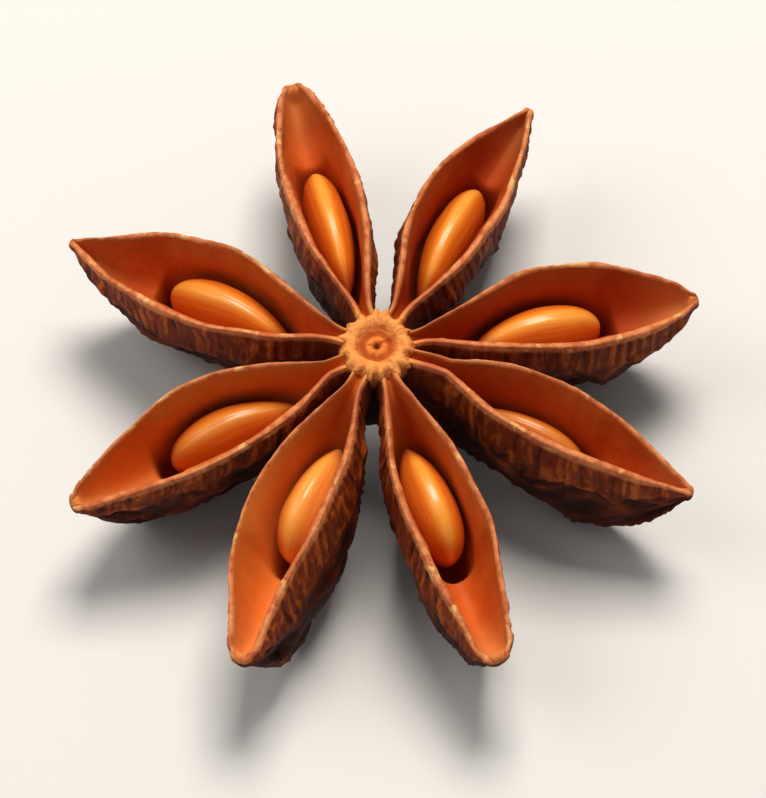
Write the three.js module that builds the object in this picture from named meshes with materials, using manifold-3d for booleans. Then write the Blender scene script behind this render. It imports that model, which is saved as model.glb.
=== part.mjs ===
// A whole star anise pod, Illicium verum: eight woody boat-shaped carpels round a short column, each split
// open along its upper seam, with one loose seed lying in it. Millimetres, +Z up. The pod lies on its keels
// on z = 0, open side up, with its overall box centred on the Z axis.
import * as THREE from "three";
import { mergeVertices } from "three/addons/utils/BufferGeometryUtils.js";
import Module from "manifold-3d";

// ---- Driving dimensions, in mm and degrees ----

const STAND = [-0.29, -0.22]; // the column's axis in X and Y, which centres the whole
const CROWN = 8.8; // height of the seams where they meet the column
const REACH = 16.2; // from the column's axis to a usual beak
const DROOP = 2.9; // how far a beak hangs below the crown
const RIM = 0.38; // thickness of a wall at its lip
const WALL_FLOOR = 0.85; // shell left under the seed chamber
const PIT = 5.76; // the seed chamber's depth under the lips, where the boat is deep enough
const TROUGH = 0.45; // depth of the groove before and behind the chamber, as a share of the boat's own depth
const SEAM = 0.6; // between the middles of the two lips where the seam is still shut
const WAIST = 0.8; // half the width of a carpel's body where it leaves the column
const SEED_BED = 5.6; // depth of a seed's lower edge under the lips
const SEED_TIP = 3; // how far a seed's inner end is tipped up from its lips' slope
const FOLD_RELIEF = 0.24; // how far the coarse wrinkles stand in or out of the outer wall
const CRIMP_RELIEF = 0.09; // how far the short pleats under the lips stand in or out

// Each carpel as it grew, in turn from the one nearest +X towards +Y. bearing: its direction. reach: from
// the axis to the beak. opening: between the middles of its lips at the widest. widest: where that is, as a
// share of the reach. shut: the share up to which its seam stays shut. full: how far the opening keeps its
// width towards both ends. end: half the width of the beak's end. line: how far the seam runs to the left of
// its bearing, looking outwards, at each quarter of the reach. roll: turn of the opening to the left. hook:
// rise of the beak's end. lift: the keel's lowest point above the table, worn flat on the table where it is
// below 0. seed: its seed's length and width, the depth of its upper edge under the lips, and its middle as
// a share of the reach.
const CARPELS = [
  {
    bearing: 14.7, reach: 15.6, opening: 4.2, widest: 0.63, shut: 0.125, full: 0.25, end: 0.45,
    line: [-0.05, 0.2, 0.28, 0], roll: -6, hook: 0.3, lift: -0.16,
    seed: { length: 6.8, width: 2.45, top: 0.95, seat: 0.4995 },
  },
  {
    bearing: 63.4, reach: 16.3, opening: 3.6, widest: 0.56, shut: 0.12, full: 0, end: 0.35,
    line: [-0.12, 0.15, 0.2, 0], roll: -4, hook: 0.1, lift: 0.12,
    seed: { length: 7.4, width: 2.1, top: 0.85, seat: 0.495 },
  },
  {
    bearing: 103.7, reach: 16.4, opening: 3.35, widest: 0.6, shut: 0.12, full: 0.2, end: 0.72,
    line: [0.28, 0.3, 0.3, 0.2], roll: 2, hook: 0.2, lift: -0.15,
    seed: { length: 7.5, width: 2.05, top: 0.8, seat: 0.505 },
  },
  {
    bearing: 153.8, reach: 16.1, opening: 4.05, widest: 0.57, shut: 0.1, full: 0, end: 0.3,
    line: [0.45, 0.2, 0.1, 0.12], roll: 8, hook: 0.4, lift: 0.05,
    seed: { length: 7, width: 2.4, top: 0.9, seat: 0.472 },
  },
  {
    bearing: 206.8, reach: 15.8, opening: 3.95, widest: 0.56, shut: 0.16, full: 0.05, end: 0.7,
    line: [0.1, -0.28, -0.33, -0.1], roll: 7, hook: 0.1, lift: -0.17,
    seed: { length: 6.8, width: 2.35, top: 1.1, seat: 0.451 },
  },
  {
    bearing: 247.6, reach: 16.6, opening: 3.65, widest: 0.56, shut: 0.14, full: 0, end: 0.8,
    line: [-0.3, -0.7, -0.7, 0], roll: -12, hook: 0.2, lift: 0.04,
    seed: { length: 6.1, width: 2.45, top: 0.9, seat: 0.4405 },
  },
  {
    bearing: 290, reach: 16.3, opening: 3.45, widest: 0.58, shut: 0.115, full: 0.15, end: 0.95,
    line: [-0.05, 0.05, 0.15, 0], roll: 1, hook: 0.15, lift: -0.16,
    seed: { length: 6.05, width: 2.45, top: 0.9, seat: 0.4385 },
  },
  {
    bearing: 336.2, reach: 16, opening: 3.25, widest: 0.56, shut: 0.22, full: 0, end: 0.4,
    line: [0.28, 0.38, 0.23, 0], roll: 4, hook: 0.2, lift: 0.08,
    seed: { length: 6.4, width: 1.9, top: 1.75, seat: 0.476 },
  },
];

// Where along the reach the sections stand, as shares of it: up to the seed's outer half, round the seed's
// outer end as distances from that end, and out to the beak.
const STATIONS_IN = [0.09, 0.135, 0.18, 0.23, 0.285, 0.34, 0.4, 0.46, 0.52];
const STATIONS_ROUND_END = [-0.045, 0.005, 0.03, 0.065];
const STATIONS_OUT = [0.84, 0.885, 0.925, 0.96, 0.988, 1];
const OUTER_STEPS = 7; // sides of the outer wall from keel to lip
const LIP_STEPS = 2; // sides of the rounded lip
const INNER_STEPS = 5; // sides of the inner wall from lip to floor
const SEED_SIDES = 12;
const SEED_RINGS = 10;
const COLUMN_SIDES = 32;
const STALK_SIDES = 4; // to each half turn

// How the depth from lip to keel changes along the reach: a waist at the column, deepest past the middle, and
// drawn up under a slender beak.
const DEPTH_SHAPE = [
  [0, 0.5],
  [0.12, 0.57],
  [0.28, 0.76],
  [0.46, 0.95],
  [0.61, 1],
  [0.74, 0.91],
  [0.85, 0.67],
  [0.93, 0.4],
  [0.975, 0.21],
  [1, 0.1],
];

// The column from its foot on the axis, up its side, over the ring and into the hollow of its top: radius,
// and height from the crown.
const COLUMN_PROFILE = [
  [0, -5.9],
  [1.3, -5.5],
  [1.9, -4],
  [1.86, -0.8],
  [1.76, -0.28],
  [1.54, 0.04],
  [1.28, 0.1],
  [1.06, 0],
  [0.88, -0.28],
  [0.64, -0.42],
  [0.36, -0.24],
  [0.16, -0.3],
  [0, -0.46],
];
const RING_LOBE = 0.05; // how far the ring swells towards each carpel

// The short broken stalk under the column.
const STALK_PATH = [
  new THREE.Vector3(0, 0, 4.4),
  new THREE.Vector3(0.15, -0.05, 3.2),
  new THREE.Vector3(0.75, -0.3, 2.1),
  new THREE.Vector3(1.55, -0.55, 1.5),
];
const STALK_RADIUS = 0.82;

const BROWN = { color: 0xa5501c, roughness: 0.62, metalness: 0 };
const SEED_AMBER = { color: 0xc9701f, roughness: 0.25, metalness: 0 };

// ---- Small tools ----

const mix = (a, b, share) => a + (b - a) * share;

function smooth(low, high, x) {
  const t = Math.min(1, Math.max(0, (x - low) / (high - low)));
  return t * t * (3 - 2 * t);
}

// A smooth curve through [x, y] points, read at x.
function through(points, x) {
  const last = points.length - 1;
  const i = Math.max(0, Math.min(last - 1, points.findIndex((p) => p[0] > x) - 1));
  const at = x >= points[last][0] ? last - 1 : i;
  const slope = (j) => {
    const [a, b] = [points[Math.max(0, j - 1)], points[Math.min(last, j + 1)]];
    return (b[1] - a[1]) / (b[0] - a[0]);
  };
  const [p, q] = [points[at], points[at + 1]];
  const width = q[0] - p[0];
  const t = Math.min(1, Math.max(0, (x - p[0]) / width));
  const [t2, t3] = [t * t, t * t * t];
  return (
    (2 * t3 - 3 * t2 + 1) * p[1] +
    (t3 - 2 * t2 + t) * width * slope(at) +
    (3 * t2 - 2 * t3) * q[1] +
    (t3 - t2) * width * slope(at + 1)
  );
}

// A point and the outward normal of a cubic curve from its four control points [across, height].
function cubic([a, b, c, d], t) {
  const s = 1 - t;
  const blend = (i) => s * s * s * a[i] + 3 * s * s * t * b[i] + 3 * s * t * t * c[i] + t * t * t * d[i];
  const pace = (i) => s * s * (b[i] - a[i]) + 2 * s * t * (c[i] - b[i]) + t * t * (d[i] - c[i]);
  const [dx, dz] = [pace(0), pace(1)];
  const length = Math.hypot(dx, dz) || 1;
  return { x: blend(0), z: blend(1), nx: dz / length, nz: -dx / length };
}

// Smooth noise from -1 to 1 on a grid of repeatable values, a different one for each layer.
function noise(x, y, layer) {
  const value = (i, j) => {
    const s = Math.sin(i * 127.1 + j * 311.7 + layer * 74.7) * 43758.5453;
    return (s - Math.floor(s)) * 2 - 1;
  };
  const [i, j] = [Math.floor(x), Math.floor(y)];
  const [u, v] = [smooth(0, 1, x - i), smooth(0, 1, y - j)];
  return mix(mix(value(i, j), value(i + 1, j), u), mix(value(i, j + 1), value(i + 1, j + 1), u), v);
}

// ---- A carpel ----

// Height of the lips, at a share u of the reach: level by the column, then drooping to the beak.
function lipHeight(carpel, u) {
  return CROWN - 0.2 * (1 - smooth(0.09, 0.2, u)) - DROOP * u * u + carpel.hook * smooth(0.84, 1, u);
}

// Half the distance between the middles of the lips.
function openingAt(carpel, u) {
  const [start, finish] = [carpel.shut, 1.01];
  const share = (x) => (x - start) / (finish - start);
  const skew = Math.log(0.5) / Math.log(share(carpel.widest));
  const lens = Math.sin(Math.PI * Math.max(0, share(u)) ** skew);
  const least = mix(SEAM / 2, carpel.end - RIM / 2, smooth(0.75, 0.97, u));
  const rounding = Math.sqrt(1 - 0.6 * smooth(0.965, 1, u));
  return Math.hypot(least, (carpel.opening / 2) * lens ** (1 - carpel.full)) * rounding;
}

// Depth from lip to keel, such that the keel's lowest point comes down to the carpel's lift.
function depthAt(carpel, u) {
  const samples = Array.from({ length: 41 }, (_, i) => mix(0.09, 1, i / 40));
  const deepest = Math.min(
    ...samples.map((at) => (lipHeight(carpel, at) - carpel.lift) / through(DEPTH_SHAPE, at)),
  );
  return deepest * through(DEPTH_SHAPE, u);
}

// Where the seed's outer end lies, as a share of the reach.
const seedEnd = ({ seed, reach }) => seed.seat + seed.length / 2 / reach;

// 1 in the seed chamber, 0 outside it.
function chamberAt(carpel, u) {
  const end = seedEnd(carpel);
  return smooth(0.14, 0.32, u) * (1 - smooth(end - 0.005, end + 0.055, u));
}

// Half the width that the chamber's walls leave for the seed.
function bedWidth({ seed, reach }, u) {
  const p = ((u - seed.seat) * reach) / (seed.length / 2);
  return (seed.width / 2) * Math.sqrt(Math.max(0.15, 1 - ((p - 0.1) / 1.25) ** 2));
}

// How far the outer wall stands proud at v, which runs from 0 at the keel to 1 at the lip, on either side.
function relief(carpel, u, v, side) {
  const layer = carpel.bearing;
  const fade = smooth(0.13, 0.3, u) * (1 - smooth(0.93, 1, u));
  const folds = noise(u * 7, side * v * 5.5 + 20, layer) + 0.5 * noise(u * 15, side * v * 11 + 50, layer + 1);
  const clearOfKeel = 0.3 + 0.7 * smooth(0, 0.25, v);
  const crimps = Math.sin(2 * Math.PI * (u * 13 + 0.6 * noise(u * 9, side * 3, layer + 2)));
  const underLip = smooth(0.55, 0.8, v) * (1 - smooth(0.93, 1, v));
  const lower = clearOfKeel * (1 - smooth(0.7, 1, v));
  return fade * (FOLD_RELIEF * folds * lower + CRIMP_RELIEF * crimps * underLip);
}

// One half of the section from keel to lip and down to the chamber's floor: points across and up from the
// lip's height. side is 1 on the left and -1 on the right.
function halfSection(carpel, u, side) {
  const depth = depthAt(carpel, u);
  const wave = 0.08 * noise(u * 8, side * 9, carpel.bearing) * smooth(0.2, 0.4, u) * (1 - smooth(0.85, 1, u));
  const middle = openingAt(carpel, u) + wave;
  const halfRim = mix(RIM, 0.36, smooth(0.85, 1, u)) / 2;
  const lip = middle + halfRim;
  const gap = Math.max(0.06, middle - halfRim);
  const swell = mix(WAIST, 0.5 * carpel.opening + 0.15, smooth(0.12, 0.42, u));
  const body = Math.max(lip, swell * (1 - smooth(0.55, 1.02, u)));

  const chamber = chamberAt(carpel, u);
  const bed = bedWidth(carpel, u);
  const trough = mix(TROUGH * depth * smooth(0.06, 0.25, u), -0.12, smooth(0.965, 1, u));
  const hollow = mix(trough, Math.min(PIT, depth - WALL_FLOOR), chamber);

  const outer = [
    [0, -depth],
    [0.6 * body, -depth],
    [1.28 * body, -0.38 * depth],
    [lip, 0],
  ];
  const inner = [
    [0, -hollow],
    [mix(0.55 * gap, 1.7 * bed, chamber), -hollow],
    [mix(0.95 * gap, 0.56 * bed + 0.22 * gap, chamber), mix(-0.45, -0.16, chamber) * hollow],
    [gap, 0],
  ];

  const points = [];
  for (let i = 0; i <= OUTER_STEPS; i++) {
    const v = i / OUTER_STEPS;
    const p = cubic(outer, v);
    const proud = i === 0 ? relief(carpel, u, 0, 1) : relief(carpel, u, v, side);
    points.push([i === 0 ? 0 : Math.max(0.02, p.x + p.nx * proud), p.z + p.nz * proud]);
  }
  for (let i = 1; i < LIP_STEPS; i++) {
    const angle = (Math.PI * i) / LIP_STEPS;
    points.push([middle + halfRim * Math.cos(angle), halfRim * Math.sin(angle)]);
  }
  for (let i = INNER_STEPS; i >= 0; i--) {
    const p = cubic(inner, i / INNER_STEPS);
    points.push([p.x, p.z]);
  }
  return points;
}

// From a section's own plane to the pod: across is to the left looking outwards, up is from the lip's height.
function place(carpel, u, across, up) {
  const turn = THREE.MathUtils.degToRad(carpel.roll) * smooth(0.1, 0.5, u);
  const seam = through([[0, 0], ...carpel.line.map((offset, i) => [(i + 1) / 4, offset])], u);
  const left = across * Math.cos(turn) + up * Math.sin(turn) + seam;
  const height = up * Math.cos(turn) - across * Math.sin(turn) + lipHeight(carpel, u);
  const bearing = THREE.MathUtils.degToRad(carpel.bearing);
  const out = u * carpel.reach;
  return new THREE.Vector3(
    out * Math.cos(bearing) - left * Math.sin(bearing),
    out * Math.sin(bearing) + left * Math.cos(bearing),
    height,
  );
}

// The closed ring of a section: up the left half, over its lip and down inside, then the right half
// backwards.
function sectionRing(carpel, u) {
  const left = halfSection(carpel, u, 1);
  const right = halfSection(carpel, u, -1).map(([x, z]) => [-x, z]);
  const ring = [...left, ...right.slice(1, -1).reverse()];
  return ring.map(([across, up]) => place(carpel, u, across, up));
}

// A closed surface through rings of equal size, with a fan of triangles at each end.
function loft(rings) {
  const count = rings[0].length;
  const centre = (ring) => ring.reduce((sum, p) => sum.add(p), new THREE.Vector3()).divideScalar(count);
  const points = [...rings.flat(), centre(rings[0]), centre(rings.at(-1))];
  const [first, last] = [points.length - 2, points.length - 1];
  const index = [];
  for (let j = 0; j < count; j++) {
    const next = (j + 1) % count;
    for (let i = 0; i < rings.length - 1; i++) {
      const [a, b] = [i * count + j, i * count + next];
      index.push(a, b, b + count, a, b + count, a + count);
    }
    const end = (rings.length - 1) * count;
    index.push(first, next, j, last, end + j, end + next);
  }
  return new THREE.BufferGeometry().setFromPoints(points).setIndex(index);
}

function carpelGeometry(carpel) {
  const end = seedEnd(carpel);
  const roundEnd = STATIONS_ROUND_END.map((distance) => end + distance);
  const between = [mix(STATIONS_IN.at(-1), roundEnd[0], 0.5), mix(roundEnd.at(-1), STATIONS_OUT[0], 0.5)];
  const stations = [...STATIONS_IN, between[0], ...roundEnd, between[1], ...STATIONS_OUT];
  return loft(stations.map((u) => sectionRing(carpel, u)));
}

// ---- The column, its stalk and the seeds ----

function columnGeometry() {
  const profile = COLUMN_PROFILE.map(([r, z]) => new THREE.Vector2(r, CROWN + z));
  const geometry = new THREE.LatheGeometry(profile, COLUMN_SIDES).rotateX(Math.PI / 2);
  const position = geometry.getAttribute("position");
  const point = new THREE.Vector3();
  for (let i = 0; i < position.count; i++) {
    point.fromBufferAttribute(position, i);
    const bearing = THREE.MathUtils.radToDeg(Math.atan2(point.y, point.x));
    const nearest = Math.min(
      ...CARPELS.map((carpel) => Math.abs(((bearing - carpel.bearing + 540) % 360) - 180)),
    );
    const outwards = smooth(0.6, 1.6, Math.hypot(point.x, point.y));
    const lobe = 1 + RING_LOBE * Math.cos(THREE.MathUtils.degToRad(nearest * 8)) * outwards;
    position.setXYZ(i, point.x * lobe, point.y * lobe, point.z);
  }
  return geometry;
}

function stalkGeometry() {
  const section = new THREE.Shape();
  section.absarc(0, 0, STALK_RADIUS, 0, 2 * Math.PI);
  return new THREE.ExtrudeGeometry(section, {
    steps: 5,
    curveSegments: STALK_SIDES,
    extrudePath: new THREE.CatmullRomCurve3(STALK_PATH),
  });
}

// A seed: egg-shaped along its carpel, flattened sideways, with a faint edge along its top and bottom.
function seedGeometry(carpel) {
  const { length, width, top, seat } = carpel.seed;
  const tilt = Math.atan2(-2 * DROOP * seat, carpel.reach) - THREE.MathUtils.degToRad(SEED_TIP);
  const tall = SEED_BED - top;
  const drop = top + tall / 2;
  const half = length / 2;
  const rings = [];
  for (let i = 0; i <= SEED_RINGS; i++) {
    const p = -Math.cos((Math.PI * (i + 0.5)) / (SEED_RINGS + 1));
    const taper = (1 - p * p) ** (0.5 + 0.22 * Math.max(0, -p));
    const girth = (taper * (0.9 + 0.2 * p)) / 0.925;
    const ring = [];
    for (let j = 0; j < SEED_SIDES; j++) {
      const angle = (2 * Math.PI * j) / SEED_SIDES;
      const [c, s] = [Math.cos(angle), Math.sin(angle)];
      const edge = 1.12 + 0.08 * smooth(0, 1, s);
      const across = (width / 2) * girth * Math.sign(c) * Math.abs(c) ** edge * (1 + 0.1 * s);
      const up = (tall / 2) * girth * s;
      const along = p * half * Math.cos(tilt) - up * Math.sin(tilt);
      const height = p * half * Math.sin(tilt) + up * Math.cos(tilt) - drop + lipHeight(carpel, seat);
      const u = seat + along / carpel.reach;
      ring.push(place(carpel, u, across, height - lipHeight(carpel, u)));
    }
    rings.push(ring);
  }
  return loft(rings);
}

// ---- Solids ----

const wasm = await Module();
wasm.setup();

function solidOf(geometry) {
  const bare = geometry.clone().deleteAttribute("normal").deleteAttribute("uv");
  const merged = mergeVertices(bare, 1e-4);
  return new wasm.Manifold(
    new wasm.Mesh({
      numProp: 3,
      vertProperties: merged.getAttribute("position").array,
      triVerts: new Uint32Array(merged.index.array),
    }),
  );
}

function geometryOf(solid) {
  const { vertProperties, triVerts } = solid.getMesh();
  const geometry = new THREE.BufferGeometry()
    .setAttribute("position", new THREE.BufferAttribute(vertProperties, 3))
    .setIndex(new THREE.BufferAttribute(triVerts, 1));
  geometry.computeVertexNormals();
  return geometry;
}

// The woody part in one piece, with what would reach below the table worn off flat.
function podGeometry() {
  const table = new THREE.BoxGeometry(3 * REACH, 3 * REACH, 2).translate(0, 0, -1);
  return geometryOf(
    CARPELS.reduce((pod, carpel) => pod.add(solidOf(carpelGeometry(carpel))), solidOf(columnGeometry()))
      .add(solidOf(stalkGeometry()))
      .subtract(solidOf(table)),
  );
}

// ---- The object ----

const starAnise = new THREE.Group();

const pod = new THREE.Mesh(podGeometry(), new THREE.MeshStandardMaterial(BROWN));
pod.name = "pod";
starAnise.add(pod);

CARPELS.forEach((carpel, i) => {
  const seed = new THREE.Mesh(seedGeometry(carpel), new THREE.MeshStandardMaterial(SEED_AMBER));
  seed.name = `seed_${i + 1}`;
  starAnise.add(seed);
});

starAnise.position.set(...STAND, 0);

export default starAnise;
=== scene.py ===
import math

import bmesh
import bpy
import numpy as np
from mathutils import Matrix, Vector
from mathutils.kdtree import KDTree


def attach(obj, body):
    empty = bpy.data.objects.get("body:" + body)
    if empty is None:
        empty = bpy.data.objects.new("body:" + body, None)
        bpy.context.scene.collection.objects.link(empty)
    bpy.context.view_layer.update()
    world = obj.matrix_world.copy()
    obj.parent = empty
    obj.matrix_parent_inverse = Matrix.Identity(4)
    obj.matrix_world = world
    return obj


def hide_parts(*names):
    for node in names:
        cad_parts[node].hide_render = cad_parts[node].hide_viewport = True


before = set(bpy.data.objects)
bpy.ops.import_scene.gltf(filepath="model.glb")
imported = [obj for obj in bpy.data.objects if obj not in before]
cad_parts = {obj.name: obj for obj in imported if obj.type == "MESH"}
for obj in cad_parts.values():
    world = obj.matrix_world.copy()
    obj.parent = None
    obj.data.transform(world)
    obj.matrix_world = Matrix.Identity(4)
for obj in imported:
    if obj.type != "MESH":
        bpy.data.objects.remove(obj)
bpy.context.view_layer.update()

# ---- The pod's named sizes, in mm, as the solids have them ----

STAND = np.array([-0.29, -0.22, 0.0])  # where the column's axis stands
CROWN = 8.8  # height of the lips near the column
LIP_DIP = 0.2  # how far they dip at the column itself
DROOP = 2.9  # how far they come down towards the beak
RIM = 0.38  # thickness of the lips
WALL_FLOOR = 0.85  # least thickness under the seed's chamber
PIT = 5.76  # depth of the chamber under the lips
TROUGH = 0.45  # depth of the trough before and behind it, as a share of the carpel's depth
SEAM = 0.6  # least opening of the seam
WAIST = 0.8  # half the carpel's width by the column
SEED_BED = 5.6  # depth of the seed's underside under the lips
SEED_TIP = 3.0  # degrees that the seed's outer end tips down past the lips' own slope
FOLD_RELIEF = 0.24  # coarse folds of the outer wall
RING_LOBE = 0.05  # swelling of the column towards each carpel, as a share of its radius

# Bearing and roll are in degrees. Reach, opening, end, line, hook and lift are in mm: end is half the beak's
# width, line is the seam's way sideways at each quarter of the reach, and lift is the keel's height. Widest
# and shut are places along the carpel, as shares of its reach. Full is how blunt the opening is.
CARPEL_KEYS = (
    "bearing", "reach", "opening", "widest", "shut", "full", "end", "line", "roll", "hook", "lift",
)
CARPEL_ROWS = (
    (14.7, 15.6, 4.2, 0.63, 0.125, 0.25, 0.45, (-0.05, 0.2, 0.28, 0), -6, 0.3, -0.16),
    (63.4, 16.3, 3.6, 0.56, 0.12, 0, 0.35, (-0.12, 0.15, 0.2, 0), -4, 0.1, 0.12),
    (103.7, 16.4, 3.35, 0.6, 0.12, 0.2, 0.72, (0.28, 0.3, 0.3, 0.2), 2, 0.2, -0.15),
    (153.8, 16.1, 4.05, 0.57, 0.1, 0, 0.3, (0.45, 0.2, 0.1, 0.12), 8, 0.4, 0.05),
    (206.8, 15.8, 3.95, 0.56, 0.16, 0.05, 0.7, (0.1, -0.28, -0.33, -0.1), 7, 0.1, -0.17),
    (247.6, 16.6, 3.65, 0.56, 0.14, 0, 0.8, (-0.3, -0.7, -0.7, 0), -12, 0.2, 0.04),
    (290, 16.3, 3.45, 0.58, 0.115, 0.15, 0.95, (-0.05, 0.05, 0.15, 0), 1, 0.15, -0.16),
    (336.2, 16.0, 3.25, 0.56, 0.22, 0, 0.4, (0.28, 0.38, 0.23, 0), 4, 0.2, 0.08),
)
# Length, width and top (its depth under the lips) are in mm, and seat is its middle's share of the reach.
SEED_KEYS = ("length", "width", "top", "seat")
SEED_ROWS = (
    (6.8, 2.45, 0.95, 0.4995),
    (7.4, 2.1, 0.85, 0.495),
    (7.5, 2.05, 0.8, 0.505),
    (7.0, 2.4, 0.9, 0.472),
    (6.8, 2.35, 1.1, 0.451),
    (6.1, 2.45, 0.9, 0.4405),
    (6.05, 2.45, 0.9, 0.4385),
    (6.4, 1.9, 1.75, 0.476),
)
CARPELS = [
    dict(zip(CARPEL_KEYS, row), seed=dict(zip(SEED_KEYS, seed))) for row, seed in zip(CARPEL_ROWS, SEED_ROWS)
]

# The keel's depth along the reach, as a share of the deepest, and the column's profile (radius, height).
DEPTH_SHAPE = [
    (0, 0.5), (0.12, 0.57), (0.28, 0.76), (0.46, 0.95), (0.61, 1), (0.74, 0.91), (0.85, 0.67), (0.93, 0.4),
    (0.975, 0.21), (1, 0.1),
]
COLUMN_PROFILE = [
    (0, -5.9), (1.3, -5.5), (1.9, -4), (1.86, -0.8), (1.76, -0.28), (1.54, 0.04), (1.28, 0.1), (1.06, 0),
    (0.88, -0.28), (0.64, -0.42), (0.36, -0.24), (0.16, -0.3), (0, -0.46),
]
STALK_PATH = [(0, 0, 4.4), (0.15, -0.05, 3.2), (0.75, -0.3, 2.1), (1.55, -0.55, 1.5)]
STALK_RADIUS = 0.82

# ---- The relief that only the scene has, in mm where nothing else is said ----

LIP_SHARE = 0.8  # how much of the solid's lip is left where the edge has frayed
LIP_UNEVEN = 0.28  # how much its thickness varies, as a share
LIP_WAVE = 0.08  # the lips' slow wander sideways
LIP_NIBBLE = 0.035  # the nicks in their edge
PLEATS = 0.055  # the short pleats in the band under the lip
BAND_WARTS = 0.045  # and what lies between them
BAND_RIDGES = 0.06
LONG_CREASES = 0.2  # the creases of the lower wall
SLANTED_CREASES = 0.1  # and what lies across them
LOW_WARTS = 0.05
BAND_STEP = 0.09  # how far the lower wall lies under the band
INNER_RIPPLE = 0.035  # the ripples of the inner wall
NOSE_LENGTH = 0.26  # the rounded end of the beak
RAY_PLACE = 0.22  # the ring's pointed rays, in radians to either side of a carpel's bearing
RAY_WIDTH = 0.1  # radians
RAY_REACH = 0.16  # as a share of the ring's radius
RING_NICKS = 0.1  # the nicks in its top
DOT_DEPTH = 0.16  # the pit in the middle of its hollow
STALK_BARK = 0.06  # the ridges along the stalk
STALK_TORN = 0.22  # its torn end
SEED_GROOVE = 0.05  # the line along a seed's top
SEED_DENTS = 0.025  # as a share of its width

# Painted light and shade for each carpel, from 0 to 1 with 0.5 as none: higher values paint light on its
# inside, lower ones paint shade on its inside and on its outside.
CARPEL_PAINTED_LIGHT_AND_SHADE = (0.15, 0.08, 0.47, 0.45, 0.95, 1.0, 0.66, 0.3)
# How pale and glossy each seed is, in the same order: 0 dull brown, 0.5 amber, 1 pale amber; the paleness is
# partly each seed's own tone and partly painted light on lit seeds and painted shade on seeds in shadow.
SEED_TONE_AND_PAINTED_LIGHT = (0.5, 0.5, 0.5, 0.32, 0.22, 0.8, 0.55, 0.2)

# ---- How finely the scene's own surfaces are drawn ----

STATIONS = 122  # along a carpel
OUTER_STEPS = 32  # from keel to lip
LIP_STEPS = 6  # over the lip
INNER_STEPS = 8  # from lip to floor
NOSE_RINGS = 4  # rounding the beak's end
COLUMN_SIDES = 128
COLUMN_ROWS = 90
STALK_SIDES = 28
STALK_ROWS = 26
SEED_SIDES = 72
SEED_RINGS = 56
FIRST_STATION = 0.072  # where a carpel's surface starts inside the column, as a share of its reach
CROWDING = 0.028  # how much closer the stations stand at both ends
MM = 0.001  # in metres
SAME_PLACE = 1e-8  # metres between corners that count as one


# ---- Small tools ----


def mix(a, b, share):
    return a + (b - a) * share


def smooth(low, high, x):
    t = np.clip((x - low) / (high - low), 0, 1)
    return t * t * (3 - 2 * t)


def through(points, x):
    """A smooth curve through (x, y) points, read at x."""
    xs, ys = np.array(points, float).T
    slopes = np.array([
        (ys[min(i + 1, len(xs) - 1)] - ys[max(i - 1, 0)]) / (xs[min(i + 1, len(xs) - 1)] - xs[max(i - 1, 0)])
        for i in range(len(xs))
    ])
    at = np.clip(np.searchsorted(xs, x, side="right") - 1, 0, len(xs) - 2)
    width = xs[at + 1] - xs[at]
    t = np.clip((x - xs[at]) / width, 0, 1)
    t2, t3 = t * t, t * t * t
    return (
        (2 * t3 - 3 * t2 + 1) * ys[at]
        + (t3 - 2 * t2 + t) * width * slopes[at]
        + (3 * t2 - 2 * t3) * ys[at + 1]
        + (t3 - t2) * width * slopes[at + 1]
    )


def cubic(control, t):
    """Points and outward normals of a cubic curve whose four control points are (across, height) arrays."""
    s = 1 - t
    weights = (s**3, 3 * s * s * t, 3 * s * t * t, t**3)
    paces = (s * s, 2 * s * t, t * t)
    x, z = (sum(w * c[k] for w, c in zip(weights, control)) for k in (0, 1))
    dx, dz = (sum(w * (control[i + 1][k] - control[i][k]) for i, w in enumerate(paces)) for k in (0, 1))
    length = np.maximum(np.hypot(dx, dz), 1e-9)
    return x, z, dz / length, -dx / length


def noise(x, y, layer):
    """Smooth noise from -1 to 1 on a grid of repeatable values."""

    def value(i, j):
        s = np.sin(i * 127.1 + j * 311.7 + layer * 74.7) * 43758.5453
        return (s - np.floor(s)) * 2 - 1

    i, j = np.floor(x), np.floor(y)
    u, v = smooth(0, 1, x - i), smooth(0, 1, y - j)
    return mix(mix(value(i, j), value(i + 1, j), u), mix(value(i, j + 1), value(i + 1, j + 1), u), v)


def ridged(x, y, layer):
    """Sharp crests from 0 to 1 where smooth noise crosses 0."""
    return (1 - np.abs(noise(x, y, layer))) ** 3


def bell(x, middle, width):
    """A smooth hump of height 1."""
    return np.exp(-(((x - middle) / width) ** 2))


# ---- A carpel: u runs from 0 at the column's axis to 1 at the beak ----


def lip_height(carpel, u):
    return CROWN - LIP_DIP * (1 - smooth(0.09, 0.2, u)) - DROOP * u * u + carpel["hook"] * smooth(0.84, 1, u)


def opening_at(carpel, u):
    """Half the distance between the middles of the lips."""
    start, finish = carpel["shut"], 1.01
    skew = math.log(0.5) / math.log((carpel["widest"] - start) / (finish - start))
    lens = np.sin(np.pi * np.clip((u - start) / (finish - start), 0, 1) ** skew)
    least = mix(SEAM / 2, carpel["end"] - RIM / 2, smooth(0.75, 0.97, u))
    rounding = np.sqrt(1 - 0.6 * smooth(0.965, 1, u))
    return np.hypot(least, carpel["opening"] / 2 * np.clip(lens, 0, 1) ** (1 - carpel["full"])) * rounding


def depth_at(carpel, u):
    samples = np.linspace(0.09, 1, 41)
    deepest = np.min((lip_height(carpel, samples) - carpel["lift"]) / through(DEPTH_SHAPE, samples))
    return deepest * through(DEPTH_SHAPE, u)


def seed_end(carpel):
    """Where the seed's outer end lies, as a share of the reach."""
    return carpel["seed"]["seat"] + carpel["seed"]["length"] / 2 / carpel["reach"]


def chamber_at(carpel, u):
    return smooth(0.14, 0.32, u) * (1 - smooth(seed_end(carpel) - 0.005, seed_end(carpel) + 0.055, u))


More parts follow.
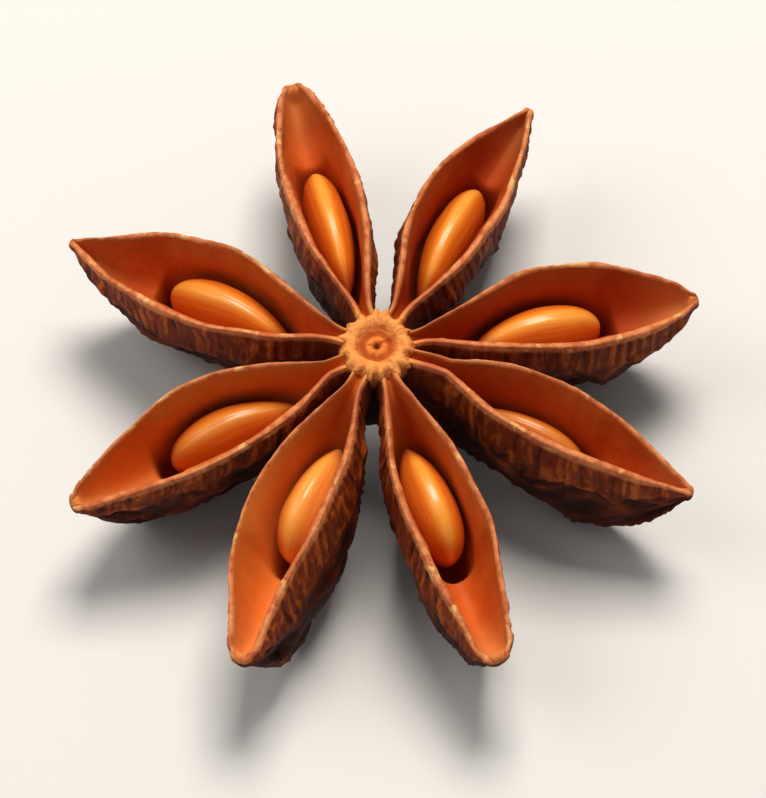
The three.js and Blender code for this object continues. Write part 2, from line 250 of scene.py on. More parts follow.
def bed_width(carpel, u):
    """Half the width that the chamber's walls leave for the seed."""
    seed = carpel["seed"]
    p = (u - seed["seat"]) * carpel["reach"] / (seed["length"] / 2)
    return seed["width"] / 2 * np.sqrt(np.maximum(0.15, 1 - ((p - 0.1) / 1.25) ** 2))


def folds(carpel, u, v, side):
    """The wrinkles that the solid has too, in mm: v runs from 0 at the keel to 1 at the lip."""
    layer = carpel["bearing"]
    fade = smooth(0.13, 0.3, u) * (1 - smooth(0.93, 1, u)) * (1 - smooth(0.7, 1, v))
    waves = noise(u * 7, side * v * 5.5 + 20, layer) + 0.5 * noise(u * 15, side * v * 11 + 50, layer + 1)
    return FOLD_RELIEF * fade * waves * (0.3 + 0.7 * smooth(0, 0.25, v))


def wrinkles(carpel, u, v, side):
    """Relief, in mm, of the pleats under the lip, the long creases lower down and the warts, and the same
    relief as a mark for painted shade in its low places, with a painted shadow line in the crease at the
    band's foot.
    """
    layer = carpel["bearing"] * 3 + side
    fade = smooth(0.1, 0.22, u) * (1 - 0.5 * smooth(0.93, 1, u))
    bent = u + 0.014 * noise(u * 11, v * 3, layer)
    pleats = np.sin(2 * np.pi * (bent * 27 + 1.1 * noise(u * 13, side + 0 * v, layer + 2)))
    uneven = 0.55 + 0.45 * noise(u * 21, v * 4, layer + 3)
    foot = 0.68 + 0.06 * noise(u * 15, side + 0 * v, layer + 4)
    band = smooth(foot, foot + 0.08, v) * (1 - smooth(0.95, 0.995, v))
    low = 1 - smooth(foot, foot + 0.1, v)
    wander = (0.8 * noise(u * 4, v * 6, layer + 5), 1.5 * noise(u * 7, v * 3, layer + 6))
    long = ridged(u * 5 + wander[0], v * 12 + wander[1], layer + 7)
    slant = ridged(bent * 13 + v * 3, v * 6 - u * 4, layer + 8)
    warts = smooth(0.2, 0.9, noise(u * 52, v * 27, layer + 9))
    clear_of_keel = smooth(0, 0.1, v)
    step = 1 - smooth(foot - 0.02, foot + 0.04, v)
    crease_shade = bell(v - foot, -0.015, 0.022)
    ridges = ridged(bent * 37, v * 7, layer + 10)
    upper = PLEATS * pleats * uneven + BAND_WARTS * warts + BAND_RIDGES * (ridges - 0.3)
    lower = LONG_CREASES * (long - 0.3) + SLANTED_CREASES * (slant - 0.3) + LOW_WARTS * warts
    relief = fade * (band * upper + low * clear_of_keel * lower - BAND_STEP * step * clear_of_keel)
    # The second value paints shade: darker where the relief is low, with most of the lower wall's step left
    # out and a painted shadow line in the crease at the band's foot.
    return relief, relief + fade * clear_of_keel * (0.07 * step - 0.1 * crease_shade)


def half_section(carpel, u, side):
    """Half of every section, from keel over the lip to the floor: across, up, the relief that paints shade,
    outside and level.
    """
    u = u[:, None]
    layer = carpel["bearing"]
    depth = depth_at(carpel, u)
    wave = LIP_WAVE * noise(u * 8, side * 9 + 0 * u, layer) * smooth(0.2, 0.4, u) * (1 - smooth(0.85, 1, u))
    nibble = LIP_NIBBLE * noise(u * 46, side * 5 + 0 * u, layer + 9) * smooth(0.1, 0.2, u)
    middle = opening_at(carpel, u) + wave
    uneven = 1 + LIP_UNEVEN * noise(u * 8.5, side * 7 + 0 * u, layer + 17)
    worn = LIP_SHARE * uneven * (0.7 + 0.3 * smooth(0.12, 0.36, u))
    half_rim = mix(RIM, 0.36, smooth(0.85, 1, u)) / 2 * worn + 0.5 * nibble
    lip = middle + half_rim
    gap = np.maximum(0.06, middle - half_rim)
    swell = mix(WAIST, 0.5 * carpel["opening"] + 0.15, smooth(0.12, 0.42, u))
    body = np.maximum(lip, swell * (1 - smooth(0.55, 1.02, u)))
    chamber = chamber_at(carpel, u)
    bed = bed_width(carpel, u)
    trough = mix(TROUGH * depth * smooth(0.06, 0.25, u), -0.12, smooth(0.965, 1, u))
    hollow = mix(trough, np.minimum(PIT, depth - WALL_FLOOR), chamber)
    zero = 0 * u

    v = np.linspace(0, 1, OUTER_STEPS + 1)[None, :]
    x, z, nx, nz = cubic(((zero, -depth), (0.6 * body, -depth), (1.28 * body, -0.38 * depth), (lip, zero)), v)
    small, shading_mark = wrinkles(carpel, u, v, side)
    proud = mix(folds(carpel, u, 0 * v, 1), folds(carpel, u, v, side), smooth(0, 0.06, v)) + small
    across = np.maximum(0.02, x + nx * proud)
    across[:, 0] = 0
    outer = [across, z + nz * proud, shading_mark, 1 + 0 * across, v + 0 * across]

    angle = np.pi * np.arange(1, LIP_STEPS)[None, :] / LIP_STEPS
    top = half_rim * (1 + 2.2 * nibble) * np.sin(angle)
    over = [middle + half_rim * np.cos(angle), top, 0 * top, 1 - angle / np.pi + 0 * top, 1 + 0 * top]

    t = np.linspace(1, 0, INNER_STEPS + 1)[None, :]
    x, z, nx, nz = cubic(
        (
            (zero, -hollow),
            (mix(0.55 * gap, 1.7 * bed, chamber), -hollow),
            (mix(0.95 * gap, 0.56 * bed + 0.22 * gap, chamber), mix(-0.45, -0.16, chamber) * hollow),
            (gap, zero),
        ),
        t,
    )
    ripple = INNER_RIPPLE * noise(u * 10, t * 3 + 7 * side, layer + 30)
    ripple = ripple * smooth(0, 0.2, t) * (1 - smooth(0.8, 1, t))
    inner_across = x + nx * ripple
    inner_across[:, -1] = 0
    inner = [inner_across, z + nz * ripple, 0 * x, 0 * x, 1 + z / PIT]
    return [np.concatenate(parts, axis=1) for parts in zip(outer, over, inner)]


def place(carpel, u, across, up):
    """From a section's own plane to the pod, in mm."""
    turn = math.radians(carpel["roll"]) * smooth(0.1, 0.5, u)
    seam = through([(0, 0)] + [((i + 1) / 4, offset) for i, offset in enumerate(carpel["line"])], u)
    left = across * np.cos(turn) + up * np.sin(turn) + seam
    height = up * np.cos(turn) - across * np.sin(turn) + lip_height(carpel, u)
    bearing = math.radians(carpel["bearing"])
    out = u * carpel["reach"]
    return np.stack(
        [
            out * math.cos(bearing) - left * math.sin(bearing),
            out * math.sin(bearing) + left * math.cos(bearing),
            height,
        ],
        axis=-1,
    )


def loft(rings):
    """Vertices and faces of a closed surface through rings of equal size, with a fan at each end."""
    rows, count = rings.shape[:2]
    points = np.concatenate([rings.reshape(-1, 3), rings[0].mean(0)[None], rings[-1].mean(0)[None]])
    first, last = rows * count, rows * count + 1
    j = np.arange(count)
    following = (j + 1) % count
    quads = []
    for i in range(rows - 1):
        a, b = i * count + j, i * count + following
        quads.append(np.stack([a, b, b + count, a + count], axis=1))
    end = (rows - 1) * count
    fans = np.concatenate([
        np.stack([np.full(count, first), following, j], axis=1),
        np.stack([np.full(count, last), end + j, end + following], axis=1),
    ])
    return points, [*np.concatenate(quads).tolist(), *fans.tolist()]


def carpel_surface(carpel):
    """Vertices, faces and marks: the relief that paints shade, 1 outside to 0 inside, level from keel or
    floor to lip, and u.
    """
    s = np.linspace(0, 1, STATIONS)
    u = mix(FIRST_STATION, 1, s - CROWDING * np.sin(2 * np.pi * s))
    left = half_section(carpel, u, 1)
    right = half_section(carpel, u, -1)
    ring = [np.concatenate([a, b[:, -2:0:-1]], axis=1) for a, b in zip(left, right)]
    side_sign = np.concatenate([np.ones(left[0].shape[1]), -np.ones(right[0].shape[1] - 2)])
    points = place(carpel, u[:, None] + 0 * ring[0], ring[0] * side_sign, ring[1])
    marks = np.stack([ring[2], ring[3], ring[4], u[:, None] + 0 * ring[0]], axis=-1)

    centre = points[-1].mean(0)
    bearing = math.radians(carpel["bearing"])
    outwards = np.array([math.cos(bearing), math.sin(bearing), 0])
    nose, nose_marks = [], []
    for k in range(1, NOSE_RINGS + 1):
        angle = 0.5 * np.pi * k / (NOSE_RINGS + 1)
        shrunk = (points[-1] - centre) * math.cos(angle)
        nose.append(centre + shrunk + outwards * NOSE_LENGTH * math.sin(angle))
        nose_marks.append(marks[-1])
    points = np.concatenate([points, np.array(nose)])
    points[..., 2] = np.maximum(points[..., 2], 0)
    marks = np.concatenate([marks, np.array(nose_marks)])
    vertices, faces = loft(points)
    ends = np.array([marks[0].mean(0), marks[-1].mean(0)])
    return vertices, faces, np.concatenate([marks.reshape(-1, 4), ends])


# ---- The column, its stalk and the seeds ----


def column_surface():
    """The column, a closed lathe with a lobed and nicked ring on top, with marks of the ring's relief that
    paints its shade and light, its pale top, hollow and dot.
    """
    profile = np.array(COLUMN_PROFILE, float)
    steps = np.concatenate([[0], np.cumsum(np.hypot(*np.diff(profile, axis=0).T))])
    at = steps[-1] * (1 - (1 - (np.arange(COLUMN_ROWS) + 0.5) / COLUMN_ROWS) ** 1.3)
    r = through(list(zip(steps, profile[:, 0])), at)[:, None]
    z = through(list(zip(steps, profile[:, 1])), at)[:, None]
    angle = np.linspace(0, 2 * np.pi, COLUMN_SIDES, endpoint=False)[None, :]
    bearings = np.radians([c["bearing"] for c in CARPELS])[:, None, None]
    nearest = np.min(np.abs((angle[None] - bearings + np.pi) % (2 * np.pi) - np.pi), axis=0)
    rays = bell(nearest, RAY_PLACE, RAY_WIDTH) * (1 + 0.35 * noise(angle * 6, 0.5 + 0 * r, 14))
    rays = rays * smooth(-0.5, -0.2, z)
    top = smooth(-0.9, -0.3, z)
    outer_edge = smooth(1.15, 1.6, r) * top
    ring = smooth(0.86, 1.1, r) * top
    turns = angle / (2 * np.pi)
    ways = (np.cos(angle) * 3 + 20, np.sin(angle) * 3 + 20)
    nicks = ridged(turns * 34 + 0.3 * r, 0.5 + r * 0.3, 5) * (0.5 + 0.5 * noise(*ways, 6))
    crumbs = noise(np.cos(angle) * r * 5 + 40, np.sin(angle) * r * 5 + 40, 7)
    radius = r * (1 + RING_LOBE * np.cos(nearest * 8) * smooth(0.6, 1.6, r) * (1 - top))
    radius = radius * (1 + outer_edge * (RAY_REACH * rays - 0.05 + 0.05 * noise(*ways, 9)))
    radius = radius * (1 + 0.06 * (1 - smooth(1.1, 1.4, r)) * ring * noise(*ways, 10))
    dot = 1 - smooth(0.08, 0.2, r)
    hollow = (1 - smooth(0.74, 0.98, r)) * top
    slope = smooth(1.3, 1.75, r) * top
    height = CROWN + z + ring * (0.07 * noise(*ways, 11) - RING_NICKS * nicks + 0.04 * crumbs) - 0.06 * slope
    height = height + hollow * (0.05 * crumbs + 0.08 * noise(*ways, 12)) * smooth(0, 0.4, r)
    height = height - DOT_DEPTH * dot * top
    rings = np.stack([radius * np.cos(angle), radius * np.sin(angle), height], axis=-1)
    vertices, faces = loft(rings)
    fibres = noise(turns * 90 + crumbs, 0.5 + r * 1.6, 15)
    # Relief that paints the ring: painted shade in the nicks, on the outer slope between the rays and in the
    # moat round the paler nub, painted light on the crumbs, and the fibres' own streaks.
    relief_shading = 0.2 * ring * (0.55 - nicks + 0.4 * crumbs + 0.5 * fibres)
    relief_shading = relief_shading - 0.12 * smooth(1.35, 1.65, r) * top * (1 - np.minimum(rays, 1))
    relief_shading = relief_shading + hollow * (0.16 * bell(r, 0.4, 0.12) - 0.16 * bell(r, 0.66, 0.14))
    pale = smooth(-1.3, -0.6, z)
    marks = [
        np.concatenate([(mark + 0 * angle).ravel(), [0, end]])
        for mark, end in ((relief_shading, 0), (pale, 1), (hollow, 1), (dot * top, 1))
    ]
    return vertices, faces, marks


def stalk_surface():
    """The short broken stalk, a closed tube along its path with a torn end."""
    path = np.array(STALK_PATH, float)
    t = np.linspace(0, len(path) - 1, STALK_ROWS)
    centres = np.stack([through(list(enumerate(path[:, k])), t) for k in range(3)], axis=1)
    tangents = np.gradient(centres, axis=0)
    tangents /= np.linalg.norm(tangents, axis=1)[:, None]
    side = np.cross(tangents, [0, 1, 0.2])
    side /= np.linalg.norm(side, axis=1)[:, None]
    other = np.cross(tangents, side)
    angle = np.linspace(0, 2 * np.pi, STALK_SIDES, endpoint=False)
    c, s = np.cos(angle), np.sin(angle)
    along = t[:, None] / t[-1]
    radius = STALK_RADIUS * (0.94 + 0.06 * noise(c[None] * 2 + 9, s[None] * 2 + along * 3, 11))
    radius = radius * (1 - 0.1 * along) - STALK_BARK * ridged(angle[None] * 2.2 + 0 * along, along * 2, 12)
    rings = centres[:, None] + radius[..., None] * (
        c[None, :, None] * side[:, None] + s[None, :, None] * other[:, None]
    )
    torn = STALK_TORN * noise(c * 3 + 5, s * 3 + 5, 13)
    rings[-1] += tangents[-1] * torn[:, None]
    core = centres[-1] - 0.12 * tangents[-1]
    rings = np.concatenate([rings, [mix(core, rings[-1] - 0.1 * tangents[-1], 0.55)]])
    return loft(rings)


def seed_surface(carpel):
    """An egg-shaped seed, fuller at its outer end, with marks from -1 to 1: up, across and along it."""
    seed = carpel["seed"]
    tilt = math.atan2(-2 * DROOP * seed["seat"], carpel["reach"]) - math.radians(SEED_TIP)
    tall = SEED_BED - seed["top"]
    drop = seed["top"] + tall / 2
    p = -np.cos(np.pi * (np.arange(SEED_RINGS) + 0.5) / SEED_RINGS)[:, None]
    taper = (1 - p * p) ** (0.5 + 0.22 * np.maximum(0, -p))
    girth = taper * (0.9 + 0.2 * p) / 0.925
    angle = 2 * np.pi * np.arange(SEED_SIDES)[None, :] / SEED_SIDES
    c, s = np.cos(angle), np.sin(angle)
    edge = 1.12 + 0.08 * smooth(0, 1, s)
    across = seed["width"] / 2 * girth * np.sign(c) * np.abs(c) ** edge * (1 + 0.1 * s)
    groove = SEED_GROOVE * bell(c, 0, 0.1) * smooth(0.5, 1, s) * smooth(0, 0.5, 1 - p * p)
    up = tall / 2 * girth * s - groove
    dents = SEED_DENTS * noise(p * 3 + 4, s * 2 + 3 * np.sign(c), carpel["bearing"])
    across = across * (1 + dents)
    half = seed["length"] / 2
    along = p * half * math.cos(tilt) - up * math.sin(tilt)
    height = p * half * math.sin(tilt) + up * math.cos(tilt) - drop + lip_height(carpel, seed["seat"])
    u = seed["seat"] + along / carpel["reach"]
    rings = place(carpel, u, across, height - lip_height(carpel, u))
    vertices, faces = loft(rings)
    marks = [
        np.concatenate([(mark + 0 * s * p).ravel(), ends])
        for mark, ends in ((s, (0, 0)), (c, (0, 0)), (p, (-1, 1)))
    ]
    return vertices, faces, marks


# ---- Meshes ----


def in_frame(vertices):
    """From mm round the column's axis to the frame's metres."""
    return (vertices + STAND) * MM


def added(name, data):
    """A new object in the scene."""
    made = bpy.data.objects.new(name, data)
    bpy.context.scene.collection.objects.link(made)
    return made


def make_object(name, vertices, faces):
    mesh = bpy.data.meshes.new(name)
    mesh.from_pydata(in_frame(vertices).tolist(), [], faces)
    mesh.validate()
    mesh.update()
    mesh.shade_smooth()
    return added(name, mesh)


def set_values(mesh, name, values):
    mesh.attributes.new(name, "FLOAT", "POINT").data.foreach_set("value", np.asarray(values, np.float32))


def drop_flaps(mesh):
    """Deletes the pairs of faces that a union leaves lying back to back on the same corners."""
    shape = bmesh.new()
    shape.from_mesh(mesh)
    bmesh.ops.triangulate(shape, faces=shape.faces)
    bmesh.ops.remove_doubles(shape, verts=shape.verts, dist=SAME_PLACE)
    seen, flaps = {}, []
    for face in shape.faces:
        corners = frozenset(vertex.index for vertex in face.verts)
        if corners in seen:
            flaps += [seen.pop(corners), face]
        else:
            seen[corners] = face
    bmesh.ops.delete(shape, geom=flaps, context="FACES")
    shape.to_mesh(mesh)
    shape.free()


def united(name, surfaces):
    """One closed mesh from overlapping closed surfaces."""
    pieces = [make_object(f"{name}_{i}", vertices, faces) for i, (vertices, faces) in enumerate(surfaces)]
    whole = pieces[0]
    for part in pieces[1:]:
        joint = whole.modifiers.new("union", "BOOLEAN")
        joint.operation = "UNION"
        joint.solver = "MANIFOLD"
        joint.object = part
    mesh = bpy.data.meshes.new_from_object(whole.evaluated_get(bpy.context.evaluated_depsgraph_get()))
    mesh.name = name
    drop_flaps(mesh)
    for piece in pieces:
        bpy.data.objects.remove(piece)
    mesh.shade_smooth()
    return added(name, mesh)


def build_pod():
    """The woody part as one mesh, with the marks that its material reads."""
    # The proud mark paints shade and light from the relief, and the last mark is each carpel's painted light
    # and shade.
    names = ("proud", "outside", "level", "along", "column", "hollow", "dot", "tone_and_painted_light")
    surfaces, marks = [], []
    for carpel, tone_and_painted_light in zip(CARPELS, CARPEL_PAINTED_LIGHT_AND_SHADE):
        vertices, faces, mark = carpel_surface(carpel)
        surfaces.append((vertices, faces))
        marks.append(np.concatenate([mark, np.tile([0, 0, 0, tone_and_painted_light], (len(vertices), 1))], axis=1))
    vertices, faces, (relief_shading, pale, hollow, dot) = column_surface()
    surfaces.append((vertices, faces))
    none = 0 * dot
    # The column's last mark, 0, gives its sides the deepest painted shade of the bark.
    marks.append(np.stack([relief_shading, 1 + none, 0.5 + none, 0.5 + none, pale, hollow, dot, none], axis=1))
    vertices, faces = stalk_surface()
    surfaces.append((vertices, faces))
    marks.append(np.tile([0, 1, 0.4, 0.5, 0, 0, 0, 0.5], (len(vertices), 1)))

    pod = united("husk", surfaces)
    points = np.concatenate([in_frame(vertices) for vertices, _ in surfaces])
    marks = np.concatenate(marks)
    tree = KDTree(len(points))
    for i, point in enumerate(points):
        tree.insert(point, i)
    tree.balance()
    nearest = np.array([tree.find(vertex.co)[1] for vertex in pod.data.vertices])
    for k, name in enumerate(names):
        set_values(pod.data, name, marks[nearest, k])
    return pod


# ---- Materials ----


def srgb(red, green, blue):
    """A shader's colour from red, green and blue of 0 to 255."""

    def linear(value):
        value /= 255
        return value / 12.92 if value <= 0.04045 else ((value + 0.055) / 1.055) ** 2.4

    return (linear(red), linear(green), linear(blue), 1)


class Shader:
    """A material's nodes, added by short calls."""

    def __init__(self, name):
        self.material = bpy.data.materials.new(name)
        self.material.use_nodes = True
        self.tree = self.material.node_tree
        self.surface = self.tree.nodes["Principled BSDF"]

    def node(self, kind, **values):
        made = self.tree.nodes.new("ShaderNode" + kind)
        for key, value in values.items():
            setattr(made, key, value)
        return made

    def feed(self, socket, value):
        if isinstance(value, bpy.types.NodeSocket):
            self.tree.links.new(value, socket)
        else:
            socket.default_value = value

    def attribute(self, name):
        return self.node("Attribute", attribute_name=name).outputs["Fac"]

    def math(self, operation, a, b):
        made = self.node("Math", operation=operation)
        self.feed(made.inputs[0], a)
        self.feed(made.inputs[1], b)
        return made.outputs[0]

    def centred(self, value, amount):
        """Noise of 0 to 1 as a swing to either side of 0."""
        return self.math("MULTIPLY", self.math("SUBTRACT", value, 0.5), amount)

    def step(self, value, low, high, to_low=0.0, to_high=1.0):
        """A smooth step as the value goes from low to high, or down to high where that is the lower."""
        made = self.node("MapRange", interpolation_type="SMOOTHSTEP")
        self.feed(made.inputs["Value"], value)
        for key, number in zip(("From Min", "From Max", "To Min", "To Max"), (low, high, to_low, to_high)):
            made.inputs[key].default_value = number
        return made.outputs["Result"]

    def blend(self, share, a, b, kind="RGBA"):
        made = self.node("Mix", data_type=kind)
        self.feed(made.inputs["Factor"], share)
        self.feed(made.inputs["A"], a)
        self.feed(made.inputs["B"], b)
        return made.outputs["Result"]

    def tint(self, base, mask, low, high, most, colour):
        """Lays a colour over the base, at most by that share, as the mask goes from low to high."""
        return self.blend(self.math("MULTIPLY", self.step(mask, low, high), most), base, srgb(*colour))

    def position(self, stretch=(1, 1, 1)):
        """Where the surface is on the piece itself, in metres, stretched along its axes."""
        where = self.node("TexCoord").outputs["Object"]
        if stretch == (1, 1, 1):
            return where
        mapping = self.node("Mapping")
        self.feed(mapping.inputs["Vector"], where)
        mapping.inputs["Scale"].default_value = stretch
        return mapping.outputs["Vector"]

    def speckle(self, where, scale, detail, roughness=0.6, distortion=0.0):
        made = self.node("TexNoise")
        self.feed(made.inputs["Vector"], where)
        settings = {"Scale": scale, "Detail": detail, "Roughness": roughness, "Distortion": distortion}
        for key, number in settings.items():
            made.inputs[key].default_value = number
        return made.outputs["Fac"]

    def bump(self, height, distance, strength):
        made = self.node("Bump")
        self.feed(made.inputs["Height"], height)
        made.inputs["Distance"].default_value = distance
        made.inputs["Strength"].default_value = strength
        self.feed(self.surface.inputs["Normal"], made.outputs["Normal"])


def husk_material():
    """Orange-brown inside, dark bark outside with a golden band, pale lips, a pale ring on the column, and
    painted light and shade.
    """
    m = Shader("husk_material")
    proud, outside, level = m.attribute("proud"), m.attribute("outside"), m.attribute("level")
    along, column = m.attribute("along"), m.attribute("column")
    hollow, dot, tone_and_painted_light = m.attribute("hollow"), m.attribute("dot"), m.attribute("tone_and_painted_light")
    cloud = m.speckle(m.position(), 260, detail=3)
    grain = m.speckle(m.position(), 1500, detail=6, roughness=0.65)
    fine = m.speckle(m.position(), 5200, detail=4, roughness=0.7)
    mottle = m.speckle(m.position(), 800, detail=4, distortion=0.3)
    upright = m.speckle(m.position((1, 1, 0.22)), 2300, detail=5, distortion=0.5)
    lying = m.speckle(m.position((0.35, 0.35, 1)), 1700, detail=5, distortion=0.5)

    # Inside: smooth orange-brown, with painted light and shade per carpel and painted shade low in the pit
    # that the seed lies in.
    inside = m.blend(m.step(level, 0.5, 0.97), srgb(208, 92, 28), srgb(202, 98, 36))
    inside = m.tint(inside, cloud, 0.42, 0.68, 0.45, (190, 66, 15))
    inside = m.tint(inside, fine, 0.5, 0.72, 0.28, (140, 48, 14))
    inside = m.tint(inside, mottle, 0.5, 0.68, 0.3, (150, 58, 20))
    inside = m.tint(inside, mottle, 0.5, 0.34, 0.22, (226, 122, 58))
    # Painted light on the carpels set above 0.5 and painted shade on those set below it.
    inside = m.tint(inside, tone_and_painted_light, 0.5, 1.0, 0.6, (224, 126, 48))
    inside = m.tint(inside, tone_and_painted_light, 0.5, 0.0, 0.7, (168, 56, 18))
    inside = m.tint(inside, along, 0.78, 0.97, 0.6, (214, 134, 72))
    # Painted shade: darker low in the pit that the seed lies in.
    inside = m.blend(m.step(level, 0.4, 0.05), inside, srgb(156, 58, 19))

    # Outside: golden and pleated under the lip, dark and creased below, with painted shade in the creases and
    # painted light on the crests; the lower wall's near-black is partly its own dark brown and partly painted
    # shade.
    creases = m.blend(m.step(level, 0.6, 0.74), lying, upright, kind="FLOAT")
    relief_shading = m.math("ADD", m.math("MULTIPLY", proud, 5.5), m.centred(creases, 2.2))
    dark = m.blend(m.step(relief_shading, -0.7, 0.2), srgb(24, 7, 1), srgb(60, 18, 4))
    dark = m.blend(m.step(relief_shading, 0.1, 0.8), dark, srgb(106, 38, 9))
    gold = m.blend(m.step(relief_shading, -0.6, 0.0), srgb(48, 14, 3), srgb(136, 50, 11))
    gold = m.blend(m.step(relief_shading, 0.0, 0.55), gold, srgb(200, 98, 28))
    band = m.math("ADD", level, m.centred(cloud, 0.35))
    bark = m.blend(m.step(band, 0.56, 0.84), dark, gold)
    bark = m.tint(bark, cloud, 0.48, 0.7, 0.35, (104, 36, 10))
    # Painted shade on the outsides of the carpels set below 0.5.
    bark = m.tint(bark, tone_and_painted_light, 0.5, 0.0, 0.35, (66, 23, 8))
    # Painted shade in the valleys between the carpels next to the column.
    bark = m.tint(bark, along, 0.32, 0.12, 0.75, (104, 40, 18))

    # The lips: a pale torn edge with lighter flecks, lighter again where it meets the ring.
    wall = m.blend(m.step(outside, 0.25, 0.8), inside, bark)
    lip = m.math("MULTIPLY", m.step(level, 0.955, 0.99), m.step(outside, 0.05, 0.25))
    lip_colour = m.blend(m.step(grain, 0.36, 0.6), srgb(190, 94, 50), srgb(226, 138, 84))
    lip_colour = m.tint(lip_colour, mottle, 0.56, 0.66, 0.8, (252, 194, 122))
    lip_colour = m.blend(m.step(along, 0.34, 0.14), lip_colour, srgb(198, 102, 62))
    lip_colour = m.blend(m.step(along, 0.17, 0.1), lip_colour, srgb(238, 150, 78))
    colour = m.blend(lip, wall, lip_colour)

    # The column's ring, the hollow in it and the dot in the middle, with painted shade in its low places and
    # painted light on its high ones.
    ring_relief_shading = m.math("ADD", proud, m.centred(grain, 0.3))
    ring = m.blend(m.step(ring_relief_shading, -0.16, 0.12), srgb(190, 92, 36), srgb(242, 156, 80))
    pan = m.blend(m.step(ring_relief_shading, -0.15, 0.15), srgb(172, 76, 22), srgb(234, 134, 58))
    ring = m.blend(hollow, ring, pan)
    ring = m.blend(dot, ring, srgb(120, 40, 10))
    colour = m.blend(column, colour, ring)
    m.feed(m.surface.inputs["Base Color"], colour)

    bare = m.math("MAXIMUM", outside, column)
    rough = m.blend(bare, m.step(grain, 0.3, 0.7, 0.52, 0.68), 0.68, kind="FLOAT")
    m.feed(m.surface.inputs["Roughness"], rough)
    m.surface.inputs["Specular IOR Level"].default_value = 0.15

    rough_coat = m.math("ADD", creases, m.math("MULTIPLY", fine, 0.4))
    m.bump(m.math("MULTIPLY", rough_coat, m.step(outside, 0.1, 0.9, 0.06, 1.0)), 0.00022, 0.9)
    return m.material


def seed_material():
    """A glossy amber coat with painted light along the top and painted shade underneath, and fine streaks
    from end to end.
    """
    m = Shader("seed_coat_material")
    top, around, end = m.attribute("top"), m.attribute("around"), m.attribute("end")
    tone_and_painted_light = m.attribute("tone_and_painted_light")
    cloud = m.speckle(m.position(), 420, detail=3)
    fine = m.speckle(m.position(), 3800, detail=4)
    where = m.node("CombineXYZ")
    m.feed(where.inputs["X"], m.math("MULTIPLY", around, 14.0))
    m.feed(where.inputs["Y"], m.math("MULTIPLY", end, 1.3))
    m.feed(where.inputs["Z"], cloud)
    streak = m.speckle(where.outputs["Vector"], 1, detail=4, roughness=0.5)

    # Painted light along the top ridge and painted shade on the underside.
    colour = m.blend(m.step(top, 0.0, 0.85), srgb(190, 70, 12), srgb(230, 112, 24))
    colour = m.blend(m.step(top, 0.84, 1.0), colour, srgb(246, 156, 52))
    colour = m.tint(colour, streak, 0.5, 0.72, 0.2, (250, 174, 82))
    colour = m.tint(colour, streak, 0.5, 0.3, 0.2, (186, 80, 22))
    colour = m.blend(m.step(end, -0.6, -0.97), colour, srgb(168, 68, 20))
    colour = m.tint(colour, fine, 0.55, 0.8, 0.22, (164, 74, 22))
    # Each seed's own tone, with painted shade on seeds lying in shadow and painted light on lit ones.
    colour = m.tint(colour, tone_and_painted_light, 0.5, 0.0, 0.72, (160, 68, 20))
    colour = m.tint(colour, tone_and_painted_light, 0.5, 1.0, 0.6, (240, 160, 74))
    m.feed(m.surface.inputs["Base Color"], colour)
    gloss = m.math("ADD", m.step(streak, 0.3, 0.7, 0.24, 0.38), m.step(tone_and_painted_light, 0.5, 0.0, 0.0, 0.06))
    m.feed(m.surface.inputs["Roughness"], gloss)
    m.surface.inputs["Coat Weight"].default_value = 0.2
    m.surface.inputs["Specular IOR Level"].default_value = 0.4
    m.surface.inputs["Coat Roughness"].default_value = 0.14
    m.bump(m.math("ADD", cloud, m.math("MULTIPLY", streak, 0.6)), 0.00006, 0.4)
    return m.material


# ---- The pieces ----

husk_look = husk_material()
seed_look = seed_material()

pod = build_pod()
pod.data.materials.clear()
pod.data.materials.append(husk_look)
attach(pod, "root")
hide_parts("pod")

for number, (carpel, tone_and_painted_light) in enumerate(zip(CARPELS, SEED_TONE_AND_PAINTED_LIGHT), start=1):
    vertices, faces, marks = seed_surface(carpel)
    seed = make_object(f"amber_seed_{number}", vertices, faces)
    for name, mark in zip(("top", "around", "end"), marks):
        set_values(seed.data, name, mark)
    set_values(seed.data, "tone_and_painted_light", np.full(len(vertices), tone_and_painted_light))
    seed.data.materials.append(seed_look)
    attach(seed, "root")
    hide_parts(f"seed_{number}")


# ---- Floor, light and camera ----

FLOOR_HALF = 0.6  # metres
FLOOR_COLOUR = (0.76, 0.74, 0.71, 1)
FLOOR_ROUGHNESS = 0.9
SKY_COLOUR = (0.98, 0.98, 1.0, 1)
SKY_STRENGTH = 0.19
ELEVATION = math.radians(60)
DISTANCE = 0.4  # metres from the camera to the pod
AIM = Vector((0.0, -0.0012, 0.0052))
POD_WIDTH = 0.0298  # metres
FILL = 0.82  # the pod's width as a share of the picture's
PICTURE = (766, 798)  # width and height in pixels
SENSOR = 36  # mm
CLIP = (0.01, 10)  # metres


def plain(name, colour, roughness):
    material = bpy.data.materials.new(name)
    material.use_nodes = True
    surface = material.node_tree.nodes["Principled BSDF"]
    surface.inputs["Base Color"].default_value = colour
    surface.inputs["Roughness"].default_value = roughness
    return material


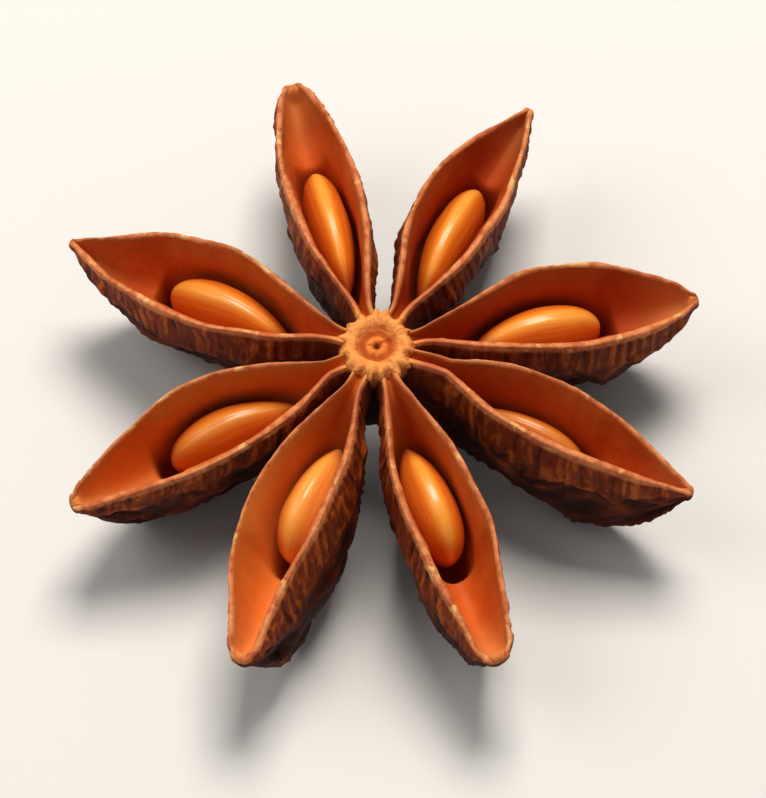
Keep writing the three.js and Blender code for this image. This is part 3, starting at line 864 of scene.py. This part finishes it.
def area_light(name, azimuth, elevation, distance, size, power, colour):
    """A soft square light aimed at the pod, placed by its azimuth from the viewer's side."""
    a, e = math.radians(azimuth), math.radians(elevation)
    where = Vector((math.sin(a) * math.cos(e), -math.cos(a) * math.cos(e), math.sin(e))) * distance
    light = bpy.data.lights.new(name, "AREA")
    light.size = size
    light.energy = power
    light.color = colour
    lamp = added(name, light)
    lamp.location = where
    lamp.rotation_euler = (-where).to_track_quat("-Z", "Y").to_euler()


floor_corners = [(FLOOR_HALF * x, FLOOR_HALF * y, 0) for x, y in ((-1, -1), (1, -1), (1, 1), (-1, 1))]
floor_mesh = bpy.data.meshes.new("floor")
floor_mesh.from_pydata(floor_corners, [], [(0, 1, 2, 3)])
floor_mesh.materials.append(plain("floor_paper", FLOOR_COLOUR, FLOOR_ROUGHNESS))
floor = added("floor", floor_mesh)

area_light("key", azimuth=168, elevation=68, distance=0.32, size=0.14, power=1.04, colour=(1.0, 0.96, 0.89))
area_light("side", azimuth=-95, elevation=50, distance=0.34, size=0.2, power=0.3, colour=(1.0, 0.98, 0.95))
area_light("fill", azimuth=20, elevation=35, distance=0.4, size=0.3, power=0.03, colour=(1.0, 1.0, 1.0))

world = bpy.data.worlds.new("studio")
world.use_nodes = True
sky = world.node_tree.nodes["Background"]
sky.inputs["Color"].default_value = SKY_COLOUR
sky.inputs["Strength"].default_value = SKY_STRENGTH
bpy.context.scene.world = world
bpy.context.scene.view_settings.view_transform = "Standard"

camera_data = bpy.data.cameras.new("camera")
camera = added("camera", camera_data)
camera.location = AIM + Vector((0, -math.cos(ELEVATION), math.sin(ELEVATION))) * DISTANCE
camera.rotation_euler = (AIM - camera.location).to_track_quat("-Z", "Y").to_euler()
picture_height = POD_WIDTH / FILL * PICTURE[1] / PICTURE[0]
camera_data.sensor_fit = "AUTO"
camera_data.sensor_width = SENSOR
camera_data.lens = SENSOR * DISTANCE / picture_height
camera_data.clip_start, camera_data.clip_end = CLIP
bpy.context.scene.camera = camera
